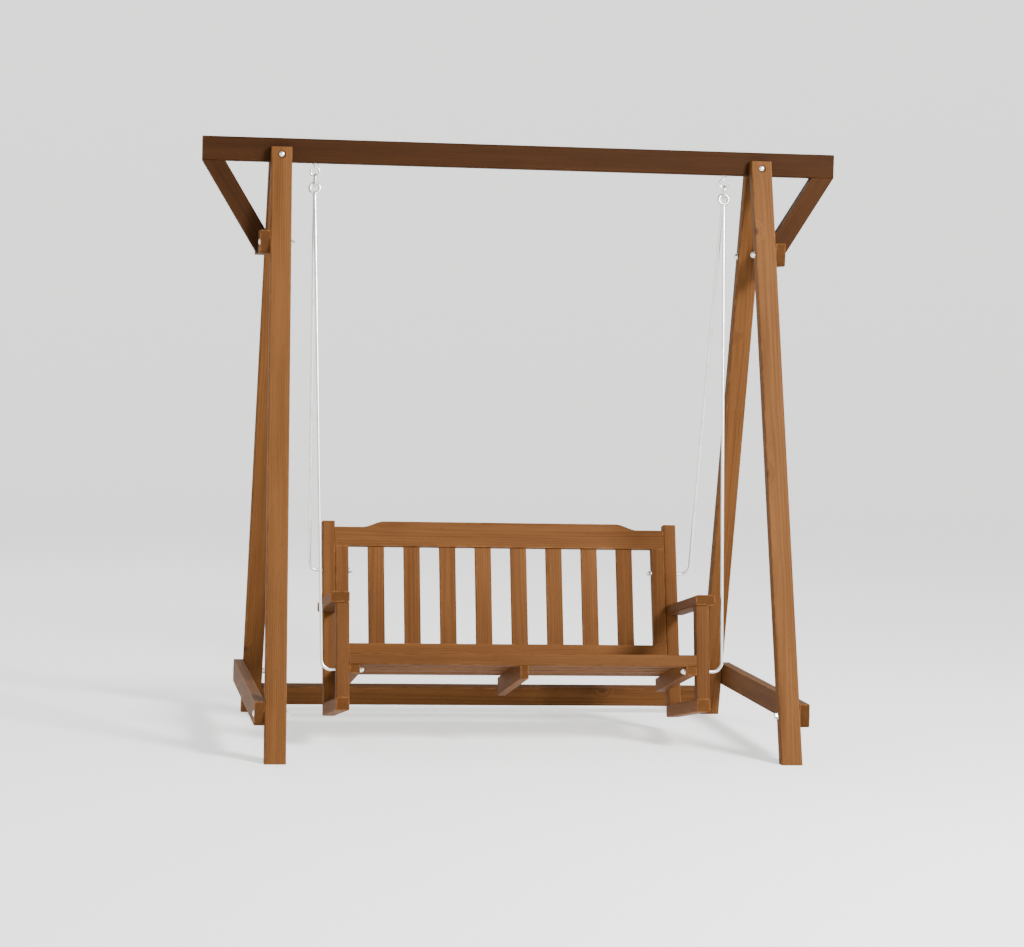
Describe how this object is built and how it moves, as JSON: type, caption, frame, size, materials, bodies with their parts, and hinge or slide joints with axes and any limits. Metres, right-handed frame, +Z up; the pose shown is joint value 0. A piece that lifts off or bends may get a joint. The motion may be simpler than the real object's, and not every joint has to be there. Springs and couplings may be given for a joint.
{
  "type": "porch swing",
  "caption": "Free-standing wooden garden swing seat: a slatted two-seat bench on bent steel rods under a beam on two splayed A-frames.",
  "frame": {"origin": "on the ground, under the middle of the top beam", "axes": "+X to the right along the beam, as seen from in front of the bench, +Y to the rear, towards the bench's back, +Z up"},
  "size_m": [2.1, 1.1366, 1.96],
  "materials": {
    "frame_timber": "satin",
    "beam_timber": "satin",
    "bench_timber": "satin",
    "zinc_steel": "satin"
  },
  "bodies": {
    "frame": {"top_beam": "beam_timber", "front_leg_left": "frame_timber", "front_leg_right": "frame_timber", "rear_leg_left": "frame_timber", "rear_leg_right": "frame_timber", "rear_rail": "frame_timber", "cross_board_left": "frame_timber", "cross_board_right": "frame_timber", "cleat_left": "frame_timber", "cleat_right": "frame_timber", "brace_left": "beam_timber", "brace_right": "beam_timber", "beam_bolts": "zinc_steel", "cleat_bolts": "zinc_steel", "board_bolts": "zinc_steel", "frame_nuts": "zinc_steel", "brace_screws": "zinc_steel", "rail_screws": "zinc_steel", "hook_left": "zinc_steel", "hook_right": "zinc_steel"},
    "links": {"link_left": "zinc_steel", "link_right": "zinc_steel"},
    "seat": {"front_rod_left": "zinc_steel", "front_rod_right": "zinc_steel", "rear_rod_left": "zinc_steel", "rear_rod_right": "zinc_steel", "rod_nuts": "zinc_steel", "front_post_left": "bench_timber", "front_post_right": "bench_timber", "back_post_left": "bench_timber", "back_post_right": "bench_timber", "armrest_left": "bench_timber", "armrest_right": "bench_timber", "runner_left": "bench_timber", "runner_right": "bench_timber", "bearer_left": "bench_timber", "bearer_right": "bench_timber", "bearer_middle": "bench_timber", "seat_slat_front": "bench_timber", "seat_slat_1": "bench_timber", "seat_slat_2": "bench_timber", "seat_slat_3": "bench_timber", "seat_slat_4": "bench_timber", "seat_slat_5": "bench_timber", "back_top_rail": "bench_timber", "back_bottom_rail": "bench_timber", "back_stile_left": "bench_timber", "back_stile_right": "bench_timber", "back_slat_1": "bench_timber", "back_slat_2": "bench_timber", "back_slat_3": "bench_timber", "back_slat_4": "bench_timber", "back_slat_5": "bench_timber", "back_slat_6": "bench_timber", "back_slat_7": "bench_timber", "back_slat_8": "bench_timber", "slat_screws": "zinc_steel", "seat_frame_screws": "zinc_steel"}
  },
  "joints": [
    {"name": "seat_swing", "type": "hinge", "parent": "frame", "child": "seat", "pos_m": [0, 0, 1.84], "axis": [1, 0, 0], "range_deg": [-24, 24]},
    {"name": "link_swing", "type": "hinge", "parent": "frame", "child": "links", "pos_m": [0, 0, 1.84], "axis": [1, 0, 0], "range_deg": [-24, 24]}
  ],
  "couplings": [
    {"joint": "link_swing", "follows": "seat_swing", "ratio": 1}
  ]
}
